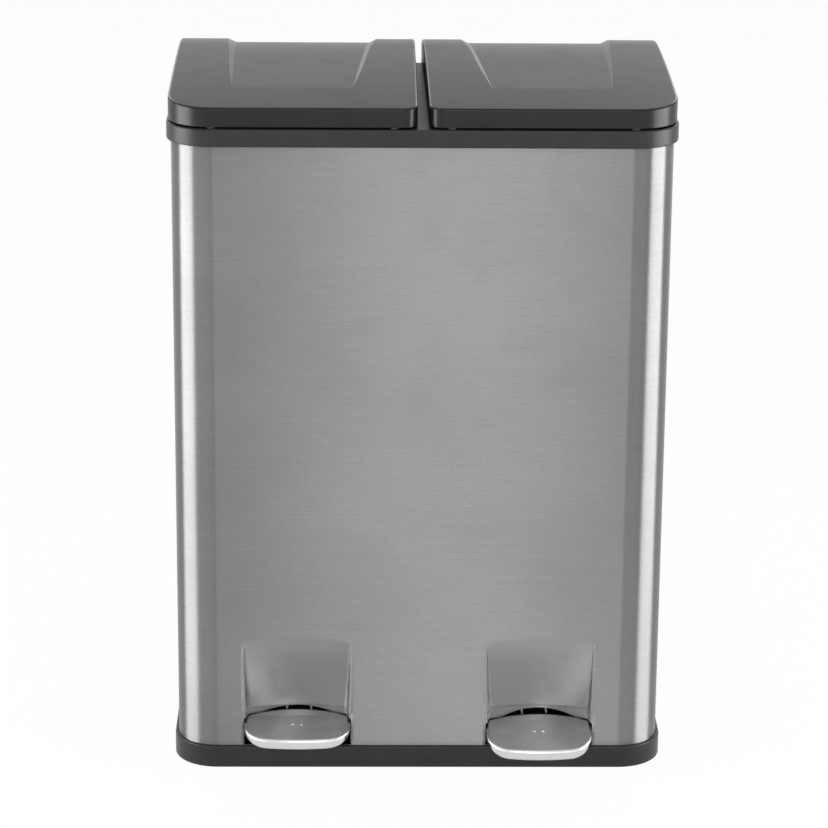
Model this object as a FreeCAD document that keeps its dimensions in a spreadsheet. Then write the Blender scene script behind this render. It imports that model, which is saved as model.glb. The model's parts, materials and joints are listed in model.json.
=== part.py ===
import FreeCAD, Part
import math
import os

import Sketcher

# Double pedal bin for sorted waste, in millimetres: a brushed steel sleeve on a moulded base, a moulded
# collar with two hinged lids, and under each lid a lift-out bucket. Each pedal turns a lever on the floor
# of the base, the lever lifts a rod behind the bucket, and the rod lifts a crank under the lid.
# X is to the right seen from the front, Y to the back, Z up. Every piece is drawn about the middle of the
# sleeve's plan, and all of them are set back by half the pedals' reach, so that the origin is on the floor
# under the middle of the whole bin.

document = FreeCAD.newDocument("DoubleRecyclingBin")
sheet = document.addObject("Spreadsheet::Sheet", "Sizes")

DIMENSIONS = (
    # Overall
    ("collar_width", 475.0, "width of the collar, the widest piece"),
    ("collar_depth", 342.0, "depth of the collar"),
    ("collar_corner", 43.0, "plan radius of the collar's corners"),
    ("collar_level", 617.0, "height of the collar's lower edge"),
    ("collar_height", 17.0, "height of the collar's rim"),
    ("edge_round", 1.5, "rounding of the mouldings' outer edges"),
    ("moulding", 2.5, "wall of the mouldings"),
    ("slip", 0.3, "gap between a moulding and the sheet that it holds"),
    # Steel sleeve
    ("sleeve_inset", 4.0, "step from the collar's edge in to the sleeve"),
    ("sheet_gauge", 0.8, "thickness of the sleeve's sheet"),
    ("sleeve_lap", 2.0, "how far the sleeve rises into the collar"),
    ("seam_width", 12.0, "width of the seam strip up the back"),
    # Base
    ("base_inset", 0.5, "step from the collar's edge in to the base"),
    ("base_height", 23.0, "top of the base's outer wall"),
    ("base_stand", 0.8, "gap between the base's rim and the floor"),
    ("floor_top", 7.0, "top of the base's floor"),
    ("floor_gauge", 3.0, "thickness of the base's floor"),
    ("upstand_drop", 2.0, "the wall inside the sleeve, below the outer wall's top"),
    ("rib_height", 6.0, "height of the ribs on the base's floor"),
    ("rib_gauge", 2.0, "thickness of ribs"),
    ("foot_radius", 10.0, "radius of a rubber foot"),
    ("foot_inset_x", 37.5, "feet from the collar's sides"),
    ("foot_inset_y", 41.0, "feet from the collar's front and back"),
    # Pedals and alcoves
    ("pedal_width", 104.0, "width of a pedal plate"),
    ("pedal_reach", 28.0, "how far a pedal stands out past the collar"),
    ("pedal_gauge", 1.5, "sheet of a pedal plate"),
    ("pedal_corner", 24.0, "plan radius of a pedal's front corners"),
    ("pedal_bow", 4.0, "bow of a pedal's front edge"),
    ("pedal_rim", 9.0, "height of a pedal's rolled rim at the front"),
    ("pedal_roll", 2.5, "rounding of a pedal's rim"),
    ("rear_inset", 22.0, "a pedal's back edge, behind the collar's front"),
    ("crease_inset", 14.0, "the crease across a pedal, behind the collar's front"),
    ("rear_flap_slope", 26.0, "slope of a pedal behind its crease, degrees"),
    ("left_crease_rise", 26.4, "the left pedal's crease above the base"),
    ("left_tilt", 11.0, "slope of the left pedal, degrees"),
    ("right_crease_rise", 21.5, "the right pedal's crease above the base"),
    ("right_tilt", 19.0, "slope of the right pedal, which hangs lower, degrees"),
    ("window_height", 34.0, "height of a pedal's window, from the base to its alcove"),
    ("alcove_height", 84.0, "height over which an alcove fades into the front"),
    ("alcove_depth", 20.0, "depth of the alcoves at their lower edge"),
    ("alcove_bow", 8.0, "hollow of an alcove's back across its width"),
    ("alcove_side", 5.0, "slant of an alcove's side at its lower edge"),
    ("alcove_fade_out", 0.4, "how far over the front an alcove ends, so that it fades out"),
    ("pedal_gap", 1.0, "gap beside a pedal in its window"),
    # Levers
    ("axle_inset", 101.0, "the levers' axles, behind the collar's front"),
    ("axle_radius", 3.0, "radius of a lever's axle"),
    ("running_gap", 0.05, "radial play of a turning fit"),
    ("lever_tube_radius", 5.5, "outside of the tube that turns on the axle"),
    ("lever_tube_length", 21.0, "length of that tube"),
    ("lever_width", 16.0, "width of a lever's bar"),
    ("lever_gauge", 3.0, "thickness of a lever's bar"),
    ("weld", 0.8, "how deep the bar sits in the tube's wall"),
    ("lever_rear_rise", 15.0, "top of the bar under its rod, above the base's floor"),
    ("knee_inset", 61.0, "the bar's bend, behind the collar's front"),
    ("lever_knee_rise", 36.8, "top of the bar at its bend, above the base's floor"),
    ("lever_tail", 9.0, "length of the bar behind its rod"),
    ("lever_nose", 31.0, "length of the tongue under a pedal"),
    ("rivet_radius", 2.0, "radius of a rivet's shank"),
    ("bracket_gauge", 2.0, "sheet of the axle brackets"),
    ("bracket_length", 30.0, "length of an axle bracket"),
    ("side_gap", 0.5, "gap beside a turning piece"),
    ("screw_radius", 1.5, "radius of a screw's shank"),
    ("screw_head", 2.2, "height of a screw's head"),
    # Rods
    ("hinge_inset", 12.0, "the lids' axis from the collar's back edge"),
    ("hinge_clearance", 1.0, "room between a hinge ear and the lid over it"),
    ("crank_radius", 18.0, "crank pin from the lids' axis"),
    ("crank_start", 40.0, "fall of the crank at rest, degrees"),
    ("rod_radius", 2.5, "radius of a rod"),
    ("lift_gap", 0.6, "play above and below a rod"),
    ("head_width", 12.0, "width of a rod's head"),
    ("head_depth", 14.0, "depth of a rod's head"),
    ("head_length", 40.0, "height of a rod's head"),
    ("guide_gap", 0.5, "play around a rod's head"),
    ("foot_length", 18.0, "height of a rod's foot"),
    ("rod_foot_radius", 6.0, "radius of a rod's foot"),
    ("guide_level", 300.0, "height of the rods' guides"),
    ("guide_height", 10.0, "height of a guide's boss"),
    ("guide_width", 24.0, "width of a guide"),
    ("guide_flange", 34.0, "height of a guide's flange"),
    # Collar
    ("channel_depth", 12.0, "depth of the hinge channel across the back"),
    ("channel_width", 37.0, "front of that channel, from the collar's back"),
    ("throat_bar", 13.5, "half the width between the two throats"),
    ("throat_edge", 17.0, "width of the rim beside a throat"),
    ("throat_front", 17.0, "width of the rim in front of the throats"),
    ("throat_back", 49.0, "back edge of the throats, from the collar's back"),
    ("throat_corner", 22.5, "plan radius of the throats' corners"),
    ("ledge", 5.0, "width of the ledge that a bucket hangs on"),
    ("ledge_drop", 5.0, "that ledge, below the collar's rim"),
    ("skirt_drop", 27.0, "depth of the collar's skirt inside the sleeve"),
    ("chimney_drop", 17.0, "depth of the guides under the channel"),
    ("ear_gauge", 5.0, "thickness of a hinge ear"),
    ("boss_radius", 6.0, "radius of the lids' lugs and of the axle brackets' cheeks"),
    ("lug_inset", 38.5, "hinge lugs from the sides of their throat"),
    ("lug_width", 10.0, "width of a hinge lug"),
    ("hinge_pin_radius", 2.5, "radius of a hinge pin"),
    ("pin_overhang", 6.0, "how far a hinge pin stands out of its ears"),
    # Lids
    ("lid_gap", 1.6, "gap between the collar and the lids"),
    ("lid_inset", 1.75, "step from the collar's edge in to the lids"),
    ("lid_skirt", 18.0, "height of a lid's side at the front"),
    ("lid_crown", 11.8, "rise of a lid from that edge to its crest"),
    ("crest_inset", 101.0, "a lid's crest, from the collar's back"),
    ("lid_fall", 19.0, "fall of a lid from its crest to the back"),
    ("lid_inner_corner", 13.0, "plan radius of a lid's corners at the slot"),
    ("slot_front", 5.4, "half the slot between the lids, at the front"),
    ("slot_back", 3.7, "half the slot between the lids, at the back"),
    ("tail_drop", 7.6, "how far a lid's back hangs below its sides"),
    ("tail_length", 20.0, "length of that lower part"),
    ("scoop_depth", 5.0, "depth of a lid's panel at the back"),
    ("scoop_inset", 21.0, "front of that panel, from the collar's front"),
    ("scoop_ramp", 2.0, "run of the panel's sides for each unit of depth"),
    ("panel_in_front", 63.4, "a panel from the slot, at its front"),
    ("panel_in_back", 32.0, "a panel from the slot, at its back"),
    ("panel_out_front", 59.95, "a panel from the lid's outer side, at its front"),
    ("panel_out_back", 42.95, "a panel from the lid's outer side, at its back"),
    ("lid_round", 2.0, "rounding round a lid's top"),
    ("bumper_radius", 4.0, "radius of the bumpers under the lids"),
    ("bumper_inset", 6.0, "bumpers from the collar's front edge"),
    ("rib_rise", 10.4, "the ribs under a lid, above its lower edge"),
    # Cranks
    ("crank_rise", 12.0, "top of a crank's plate, above the lids' axis"),
    ("crank_gauge", 2.0, "sheet of a crank"),
    ("crank_front", 61.0, "front of a crank's plate, from the lids' axis"),
    ("crank_back", 23.0, "back of a crank's plate, from the lids' axis"),
    ("crank_lip", 4.0, "height of a crank's folded sides along its plate"),
    ("crank_bite", 3.2, "how deep a crank's screws go into the lid's pad"),
    ("pad_width", 30.0, "width of the pad that a crank is screwed to"),
    ("arm_spread", 8.0, "inside of a crank's arms from its middle"),
    ("crank_eye", 4.5, "radius of the arms round the crank pin"),
    # Buckets
    ("bucket_gap", 0.5, "gap between a bucket and its throat"),
    ("bucket_rise", 68.0, "underside of the buckets, above the base's floor"),
    ("bucket_taper_x", 6.0, "draft of a bucket's sides over its height"),
    ("bucket_taper_y", 10.0, "draft of a bucket's front and back"),
    ("bucket_wall", 2.0, "wall of the buckets"),
    ("flange_gauge", 3.0, "thickness of a bucket's rim"),
    ("grip_length", 90.0, "length of a bucket's hand holes"),
    ("grip_height", 24.0, "height of a bucket's hand holes"),
    ("grip_drop", 22.0, "hand holes below the ledge"),
)


class Size:
    """A length, an angle in degrees or a ratio: its number, and the expression that gives it."""

    def __init__(self, value, text):
        self.value = value
        self.text = text

    def join(self, other, sign, value):
        return Size(value, f"({self.text} {sign} {other.text})")

    def __add__(self, other):
        other = as_size(other)
        return self.join(other, "+", self.value + other.value)

    def __sub__(self, other):
        other = as_size(other)
        return self.join(other, "-", self.value - other.value)

    def __mul__(self, other):
        other = as_size(other)
        return self.join(other, "*", self.value * other.value)

    def __truediv__(self, other):
        other = as_size(other)
        return self.join(other, "/", self.value / other.value)

    def __radd__(self, other):
        return as_size(other) + self

    def __rsub__(self, other):
        return as_size(other) - self

    def __rmul__(self, other):
        return as_size(other) * self

    def __neg__(self):
        return as_size(-1.0) * self


def as_size(number):
    """The same size, or a plain number as a size."""
    if isinstance(number, Size):
        return number
    return Size(float(number), f"({float(number)!r})")


def root(size):
    return Size(math.sqrt(size.value), f"sqrt({size.text})")


def sine(size):
    return Size(math.sin(math.radians(size.value)), f"sin({size.text})")


def cosine(size):
    return Size(math.cos(math.radians(size.value)), f"cos({size.text})")


def tangent(size):
    return Size(math.tan(math.radians(size.value)), f"tan({size.text})")


class Sizes:
    """The sheet's cells as sizes, each under its alias."""


def fill_sheet():
    cells = Sizes()
    for row, (alias, value, note) in enumerate(DIMENSIONS, start=1):
        sheet.set(f"A{row}", note)
        sheet.set(f"B{row}", str(value))
        sheet.setAlias(f"B{row}", alias)
        setattr(cells, alias, Size(value, f"Sizes.{alias}"))
    document.recompute()
    return cells


S = fill_sheet()
NODES = {}

# How quickly an alcove's depth fades towards its top.
ALCOVE_FADE = 1.6
# How far over its lid a panel starts, as a share of its depth, so that its front edge runs out smoothly.
PANEL_LEAD = 0.06
SECTIONS = 5  # how many sections an alcove or a panel is drawn through
NEAR = 0.02  # how near an edge's middle lies to the surface that it bounds
HEAD_OVER_SHANK = 2  # radius of a screw's or a rivet's head, over its shank's
BOSS_OVER_SCREW = 2.5  # radius of a screw's boss, over the screw's
FLARE_OVER_SHANK = 1.6  # radius of a rivet's flared end, over its shank's
SIDES = (("left", -1), ("right", 1))
BEYOND = as_size(5.0)  # how far a cut runs past what it cuts
NONE = as_size(0.0)
PANEL_OVER = as_size(3.0)  # how far a panel's cut runs above the dome
BACKING_OVER = as_size(-1.0)  # its backing ends under the dome

# Places that several pieces share. A name that ends in AHEAD is a distance in front of the middle.
HALF_WIDTH = S.collar_width / 2
HALF_DEPTH = S.collar_depth / 2
SLEEVE_Y = HALF_DEPTH - S.sleeve_inset
SLEEVE_TOP = S.collar_level + S.sleeve_lap
COLLAR_TOP = S.collar_level + S.collar_height
UPSTAND_TOP = S.base_height - S.upstand_drop
FOOT_X = HALF_WIDTH - S.foot_inset_x
FOOT_Y = HALF_DEPTH - S.foot_inset_y
# Throats, and the middle of each side: bucket, lid, rod, lever and pedal.
THROAT_SIDE = HALF_WIDTH - S.throat_edge
THROAT_AHEAD = HALF_DEPTH - S.throat_front
THROAT_BACK = HALF_DEPTH - S.throat_back
SPREAD = (S.throat_bar + THROAT_SIDE) / 2
LEDGE_Z = COLLAR_TOP - S.ledge_drop
CHANNEL_Z = COLLAR_TOP - S.channel_depth
CHANNEL_Y = HALF_DEPTH - S.channel_width
BUCKET_Z = S.floor_top + S.bucket_rise
# Alcoves and pedals.
ALCOVE_LEVEL = S.base_height + S.window_height
CREASE_AHEAD = HALF_DEPTH - S.crease_inset
REAR_AHEAD = HALF_DEPTH - S.rear_inset
# Lids.
LID_BASE = COLLAR_TOP + S.lid_gap
TAIL_Z = LID_BASE - S.tail_drop
RIB_Z = LID_BASE + S.rib_rise
CREASE_Z = LID_BASE + S.lid_skirt
CREST_Z = CREASE_Z + S.lid_crown
LID_SIDE = HALF_WIDTH - S.lid_inset
LID_EDGE = HALF_DEPTH - S.lid_inset
LID_CREST = HALF_DEPTH - S.crest_inset
SCOOP_AHEAD = HALF_DEPTH - S.scoop_inset


def dome_radius(run, rise):
    """The radius of an arc that rises by so much over its half run."""
    return (run * run + rise * rise) / (2 * rise)


FRONT_DOME = dome_radius(LID_EDGE + LID_CREST, S.lid_crown)
BACK_DOME = dome_radius(LID_EDGE - LID_CREST, S.lid_fall)


def dome_height(y):
    """Height of a lid's top over a point, before its panel is pressed in."""
    radius = FRONT_DOME if y.value < LID_CREST.value else BACK_DOME
    run = y - LID_CREST
    return CREST_Z - radius + root(radius * radius - run * run)


def panel_depth(y):
    """Depth of a lid's panel over a point: none at its front, full at the back."""
    way = (y + SCOOP_AHEAD) / (LID_EDGE + SCOOP_AHEAD)
    return S.scoop_depth * ((1 + PANEL_LEAD) * way - PANEL_LEAD)


# Hinges: as high as the panels over them allow.
EAR_RADIUS = S.hinge_pin_radius + S.moulding
HINGE_Y = HALF_DEPTH - S.hinge_inset
LID_OVER_HINGE = dome_height(HINGE_Y) - panel_depth(HINGE_Y) - S.moulding
HINGE_Z = LID_OVER_HINGE - S.hinge_clearance - EAR_RADIUS
LUG_SPREAD = (THROAT_SIDE - S.throat_bar) / 2 - S.lug_inset
# Cranks, and rods under the middle of the crank pins' swing.
CRANK_Y = HINGE_Y - S.crank_radius * cosine(S.crank_start)
CRANK_Z = HINGE_Z - S.crank_radius * sine(S.crank_start)
PLATE_Z = HINGE_Z + S.crank_rise
PLATE_FRONT = HINGE_Y - S.crank_front
PLATE_BACK = HINGE_Y - S.crank_back
ROD_Y = HINGE_Y - S.crank_radius * (1 + cosine(S.crank_start)) / 2
HEAD_TOP = CRANK_Z - S.hinge_pin_radius - S.lift_gap
# Levers.
AXLE_AHEAD = HALF_DEPTH - S.axle_inset
KNEE_AHEAD = HALF_DEPTH - S.knee_inset
LEVER_REAR_Z = S.floor_top + S.lever_rear_rise
LEVER_KNEE_Z = S.floor_top + S.lever_knee_rise
FOOT_BASE = LEVER_REAR_Z + S.lift_gap
LEVER_SLOPE = (LEVER_KNEE_Z - LEVER_REAR_Z) / (ROD_Y + KNEE_AHEAD)
LEVER_AT_AXLE = LEVER_REAR_Z + LEVER_SLOPE * (ROD_Y + AXLE_AHEAD)
AXLE_Z = LEVER_AT_AXLE - S.lever_gauge + S.weld - S.lever_tube_radius


def bind(item, path, size):
    item.setExpression(path, as_size(size).text)


def place(item, x=0.0, y=0.0, z=0.0):
    """Sets where an item stands, on top of where it was drawn."""
    for axis, size in zip("xyz", (x, y, z)):
        if as_size(size).value or isinstance(size, Size):
            bind(item, f"Placement.Base.{axis}", size)


def keep(name, item, x=0.0, y=0.0, z=0.0):
    """Names a finished sub-part and sets it back with the rest of the bin."""
    item.Label = name
    place(item, x, as_size(y) + S.pedal_reach / 2, z)
    NODES[name] = item


def new_body(label):
    body = document.addObject("PartDesign::Body", label)
    body.Label = label
    return body


def new_sketch(body, name, role, offset=0.0):
    """An empty sketch on one of the body's own planes, or off it along its normal."""
    sketch = body.newObject("Sketcher::SketchObject", name)
    plane = [item for item in body.Origin.OriginFeatures if item.Role == role][0]
    sketch.AttachmentSupport = [(plane, "")]
    sketch.MapMode = "FlatFace"
    bind(sketch, "AttachmentOffset.Base.z", offset)
    return sketch


def arc_between(start, end, radius, bulge):
    """The lesser arc of a radius between two points, bulging to the right (1) or left (-1) of the way."""
    chord = end - start
    middle = (start + end) / 2
    out = FreeCAD.Vector(chord.y, -chord.x, 0).normalize() * bulge
    rise = radius - math.sqrt(max(radius**2 - (chord.Length / 2) ** 2, 0.0))
    crown = middle + out * rise
    return Part.Arc(start, crown, end) if bulge > 0 else Part.Arc(end, crown, start)


def outline(sketch, corners):
    """Closes a loop through corners (x, y), or (x, y, radius, bulge) where an arc leaves the corner."""
    points = [FreeCAD.Vector(as_size(c[0]).value, as_size(c[1]).value, 0) for c in corners]
    first = sketch.GeometryCount
    shapes = []
    for index, corner in enumerate(corners):
        start = points[index]
        end = points[(index + 1) % len(points)]
        if len(corner) == 4:
            shapes.append(arc_between(start, end, corner[2].value, corner[3]))
        else:
            shapes.append(Part.LineSegment(start, end))
    sketch.addGeometry(shapes, False)
    ends = [sketch.Geometry[first + index].StartPoint for index in range(len(shapes))]
    begins = [1 if (ends[index] - points[index]).Length < 1e-6 else 2 for index in range(len(shapes))]
    rules = []
    sizes = []
    for index, corner in enumerate(corners):
        begin = begins[index]
        rules.append(Sketcher.Constraint("DistanceX", -1, 1, first + index, begin, points[index].x))
        sizes.append(corner[0])
        rules.append(Sketcher.Constraint("DistanceY", -1, 1, first + index, begin, points[index].y))
        sizes.append(corner[1])
        following = (index + 1) % len(corners)
        close = Sketcher.Constraint(
            "Coincident", first + index, 3 - begin, first + following, begins[following]
        )
        rules.append(close)
        sizes.append(None)
        if len(corner) == 4:
            rules.append(Sketcher.Constraint("Radius", first + index, corner[2].value))
            sizes.append(corner[2])
    count = sketch.ConstraintCount
    sketch.addConstraint(rules)
    for index, size in enumerate(sizes):
        if isinstance(size, Size):
            bind(sketch, f"Constraints[{count + index}]", size)


def rectangle(sketch, low, high):
    (x0, y0), (x1, y1) = low, high
    outline(sketch, [(x0, y0), (x1, y0), (x1, y1), (x0, y1)])


def rounded_rectangle(sketch, low, high, radius):
    """A rectangle with round corners, between two opposite corners."""
    (x0, y0), (x1, y1) = low, high
    corners = [
        (x0 + radius, y0),
        (x1 - radius, y0, radius, 1),
        (x1, y0 + radius),
        (x1, y1 - radius, radius, 1),
        (x1 - radius, y1),
        (x0 + radius, y1, radius, 1),
        (x0, y1 - radius),
        (x0, y0 + radius, radius, 1),
    ]
    outline(sketch, corners)


def circle(sketch, x, y, radius):
    """A circle of a given radius about a point."""
    centre = FreeCAD.Vector(as_size(x).value, as_size(y).value, 0)
    index = sketch.addGeometry(Part.Circle(centre, FreeCAD.Vector(0, 0, 1), radius.value), False)
    count = sketch.ConstraintCount
    rules = [
        Sketcher.Constraint("DistanceX", -1, 1, index, 3, centre.x),
        Sketcher.Constraint("DistanceY", -1, 1, index, 3, centre.y),
        Sketcher.Constraint("Radius", index, radius.value),
    ]
    sketch.addConstraint(rules)
    for number, size in enumerate((x, y, radius)):
        if isinstance(size, Size):
            bind(sketch, f"Constraints[{count + number}]", size)


def pad(body, sketch, length, both_ways=False):
    """Adds the sketch's area, along its normal or both ways about its plane."""
    feature = body.newObject("PartDesign::Pad", "Pad")
    feature.Profile = sketch
    feature.Midplane = both_ways
    bind(feature, "Length", length)
    body.Tip = feature
    return feature


def pocket(body, sketch, length, both_ways=False):
    """Cuts the sketch's area away, along its normal or both ways about its plane."""
    feature = body.newObject("PartDesign::Pocket", "Pocket")
    feature.Profile = sketch
    feature.Midplane = both_ways
    feature.Reversed = not both_ways
    bind(feature, "Length", length)
    body.Tip = feature
    return feature


def loft(body, sketches, cuts=False):
    kind = "PartDesign::SubtractiveLoft" if cuts else "PartDesign::AdditiveLoft"
    feature = body.newObject(kind, "Loft")
    feature.Profile = sketches[0]
    feature.Sections = sketches[1:]
    body.Tip = feature
    return feature


def fillet(body, radius, wanted):
    """Rounds the edges of the body's last feature for which wanted(edge) is true."""
    document.recompute()
    base = body.Tip
    edges = [f"Edge{n}" for n, edge in enumerate(base.Shape.Edges, start=1) if wanted(edge)]
    feature = body.newObject("PartDesign::Fillet", "Fillet")
    feature.Base = (base, edges)
    bind(feature, "Radius", radius)
    body.Tip = feature
    return feature


def is_upright(edge):
    box = edge.BoundBox
    return box.ZLength > 1e-3 and box.XLength < 1e-6 and box.YLength < 1e-6


def lies_at(edge, level):
    box = edge.BoundBox
    return abs(box.ZMin - level) < 1e-4 and abs(box.ZMax - level) < 1e-4


def block(label, low, high):
    """A box between two opposite corners."""
    item = document.addObject("Part::Box", label)
    for side, start, end in zip(("Length", "Width", "Height"), low, high):
        bind(item, side, as_size(end) - start)
    place(item, *low)
    return item


def rod(label, radius, length, start, along="Z"):
    """A cylinder from a point along one axis."""
    item = document.addObject("Part::Cylinder", label)
    bind(item, "Radius", radius)
    bind(item, "Height", length)
    turn = {"X": (FreeCAD.Vector(0, 1, 0), 90), "Y": (FreeCAD.Vector(1, 0, 0), -90)}
    if along in turn:
        item.Placement.Rotation = FreeCAD.Rotation(*turn[along])
    place(item, *start)
    return item


def fuse(label, items):
    item = document.addObject("Part::MultiFuse", label)
    item.Shapes = items
    item.Refine = True
    return item


def cut(label, base, tool):
    item = document.addObject("Part::Cut", label)
    item.Base = base
    item.Tool = tool
    item.Refine = True
    return item


def common(label, items):
    item = document.addObject("Part::MultiCommon", label)
    item.Shapes = items
    return item


def group(label, items):
    """Loose pieces of one kind, kept together."""
    item = document.addObject("Part::Compound", label)
    item.Links = items
    return item


def plan_loop(sketch, inset, extra=0.0):
    """The bin's plan, drawn in from the collar's edge."""
    x = HALF_WIDTH - inset
    y = HALF_DEPTH - inset
    rounded_rectangle(sketch, (-x, -y), (x, y), S.collar_corner - inset - extra)


# ---------------------------------------------------------------- steel sleeve


def alcove_loft(body, side, grow, front, cuts):
    """A whole alcove: deepest at its lower edge, with a slightly hollow back, fading out at its top."""
    middle = SPREAD * side
    half = S.pedal_width / 2 + grow
    sketches = []
    for step in range(SECTIONS):
        way = step / (SECTIONS - 1)
        share = (1 - way) ** ALCOVE_FADE
        sketch = new_sketch(body, "AlcoveSection", "XY_Plane", ALCOVE_LEVEL + S.alcove_height * way)
        depth = S.alcove_depth * share + grow - S.alcove_fade_out * way
        bow = S.alcove_bow * share + S.alcove_fade_out / 2
        inner = half - S.alcove_side * share
        back = -SLEEVE_Y + depth - bow
        corners = [
            (middle - half, front),
            (middle + half, front),
            (middle + inner, back, dome_radius(inner, bow), 1),
            (middle - inner, back),
        ]
        outline(sketch, corners)
        sketches.append(sketch)
    loft(body, sketches, cuts)


def make_sleeve():
    """The wrapped sheet: open at both ends, two alcoves pressed in, a seam strip up the back."""
    body = new_body("Sleeve")
    ring = new_sketch(body, "Wrap", "XY_Plane", S.floor_top)
    plan_loop(ring, S.sleeve_inset)
    plan_loop(ring, S.sleeve_inset + S.sheet_gauge)
    pad(body, ring, SLEEVE_TOP - S.floor_top)
    seam_low = UPSTAND_TOP + S.slip
    seam_high = S.collar_level - S.skirt_drop - S.slip
    seam = new_sketch(body, "Seam", "XY_Plane", seam_low)
    inside = SLEEVE_Y - S.sheet_gauge
    half_seam = S.seam_width / 2
    rectangle(seam, (-half_seam, inside - S.sheet_gauge), (half_seam, inside))
    pad(body, seam, seam_high - seam_low)
    for _name, side in SIDES:
        alcove_loft(body, side, S.sheet_gauge, -SLEEVE_Y, False)
    for _name, side in SIDES:
        alcove_loft(body, side, NONE, -SLEEVE_Y - BEYOND, True)
    window = new_sketch(body, "Windows", "XZ_Plane", SLEEVE_Y - BEYOND)
    half = S.pedal_width / 2
    for _name, side in SIDES:
        x = SPREAD * side
        rectangle(window, (x - half, S.base_height), (x + half, ALCOVE_LEVEL))
    pocket(body, window, BEYOND * 2)
    holes = new_sketch(body, "RivetHoles", "XZ_Plane", -SLEEVE_Y)
    for _name, side in SIDES:
        for level in guide_rivet_levels():
            circle(holes, SPREAD * side, level, S.rivet_radius)
    pocket(body, holes, BEYOND * 2, both_ways=True)
    keep("steel_sleeve", body)


# ---------------------------------------------------------------- base


def bracket_screw_places(side):
    """Where the four screws of an axle bracket stand."""
    places = []
    for across in (-1, 1):
        for along in (-1, 1):
            x = SPREAD * side + (S.lever_tube_length / 2 + S.boss_radius) * across
            y = -AXLE_AHEAD + (S.bracket_length / 2 - S.boss_radius) * along
            places.append((x, y))
    return places


def make_base():
    """The moulded base: an outer wall, a groove for the sleeve, a floor with ribs and screw bosses."""
    body = new_body("Base")
    block_plan = new_sketch(body, "BasePlan", "XY_Plane", S.base_stand)
    plan_loop(block_plan, S.base_inset)
    pad(body, block_plan, S.base_height - S.base_stand)
    rim, top = S.base_stand.value, S.base_height.value
    fillet(body, S.edge_round, lambda edge: lies_at(edge, rim) or lies_at(edge, top))
    groove_in = S.sleeve_inset + S.sheet_gauge + S.slip
    hollow = new_sketch(body, "Hollow", "XY_Plane", S.floor_top)
    plan_loop(hollow, groove_in + S.moulding)
    pocket(body, hollow, S.base_height)
    lowered = new_sketch(body, "UpstandTop", "XY_Plane", UPSTAND_TOP)
    plan_loop(lowered, groove_in - S.slip)
    pocket(body, lowered, S.base_height)
    groove = new_sketch(body, "Groove", "XY_Plane", S.floor_top)
    plan_loop(groove, S.sleeve_inset - S.slip)
    plan_loop(groove, groove_in)
    pocket(body, groove, S.base_height)
    under = new_sketch(body, "Underside", "XY_Plane", 0.0)
    plan_loop(under, groove_in + S.moulding)
    pocket(body, under, S.floor_top - S.floor_gauge)
    ribs = new_sketch(body, "Ribs", "XY_Plane", S.floor_top)
    reach_x = HALF_WIDTH - groove_in - S.moulding
    reach_y = HALF_DEPTH - groove_in - S.moulding
    half_rib = S.rib_gauge / 2
    for turn in (-1, 1):
        y = FOOT_Y * turn
        rectangle(ribs, (-reach_x, y - half_rib), (reach_x, y + half_rib))
    pad(body, ribs, S.rib_height)
    spine = new_sketch(body, "Spine", "XY_Plane", S.floor_top)
    rectangle(spine, (-half_rib, -reach_y), (half_rib, reach_y))
    pad(body, spine, S.rib_height)
    bosses = new_sketch(body, "ScrewBosses", "XY_Plane", S.base_stand)
    holes = []
    for _name, side in SIDES:
        for x, y in bracket_screw_places(side):
            circle(bosses, x, y, S.screw_radius * BOSS_OVER_SCREW)
            holes.append((x, y))
    pad(body, bosses, S.floor_top - S.base_stand)
    bores = new_sketch(body, "ScrewHoles", "XY_Plane", S.base_stand + S.moulding / 2)
    for x, y in holes:
        circle(bores, x, y, S.screw_radius)
    pocket(body, bores, S.floor_top)
    keep("base_tray", body)


def make_feet():
    """Four rubber feet under the base's floor."""
    height = S.floor_top - S.floor_gauge
    feet = []
    for x in (-1, 1):
        for y in (-1, 1):
            start = (FOOT_X * x, FOOT_Y * y, NONE)
            feet.append(rod("Foot", S.foot_radius, height, start))
    keep("rubber_feet", group("Feet", feet))


# ---------------------------------------------------------------- collar


def throat_loop(sketch, side, grow):
    """The plan of one throat, drawn out by a step on every side."""
    low = (S.throat_bar - grow, -THROAT_AHEAD - grow)
    high = (THROAT_SIDE + grow, THROAT_BACK + grow)
    if side < 0:
        low, high = (-high[0], low[1]), (-low[0], high[1])
    rounded_rectangle(sketch, low, high, S.throat_corner + grow)


def ear_places():
    """The inner face of each hinge ear, from the middle of its lid."""
    near = LUG_SPREAD - S.lug_width / 2 - S.side_gap - S.ear_gauge
    far = LUG_SPREAD + S.lug_width / 2 + S.side_gap
    return (-far - S.ear_gauge, -near - S.ear_gauge, near, far)


def hinge_ear(label, start):
    """One ear: a boss round the hinge pin on an arm from the channel's front wall."""
    body = new_body(label)
    sketch = new_sketch(body, "EarShape", "YZ_Plane", start)
    radius = EAR_RADIUS
    corners = [
        (CHANNEL_Y - S.moulding, CHANNEL_Z - S.moulding / 2),
        (CHANNEL_Y + radius, CHANNEL_Z - S.moulding / 2),
        (HINGE_Y - radius * 1.5, HINGE_Z - radius),
        (HINGE_Y, HINGE_Z - radius, radius, 1),
        (HINGE_Y + radius, HINGE_Z, radius, 1),
        (HINGE_Y, HINGE_Z + radius),
        (CHANNEL_Y + radius, HINGE_Z + radius),
        (CHANNEL_Y - S.moulding, COLLAR_TOP - S.moulding),
    ]
    outline(sketch, corners)
    circle(sketch, HINGE_Y, HINGE_Z, S.hinge_pin_radius)
    pad(body, sketch, S.ear_gauge)
    return body


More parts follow.
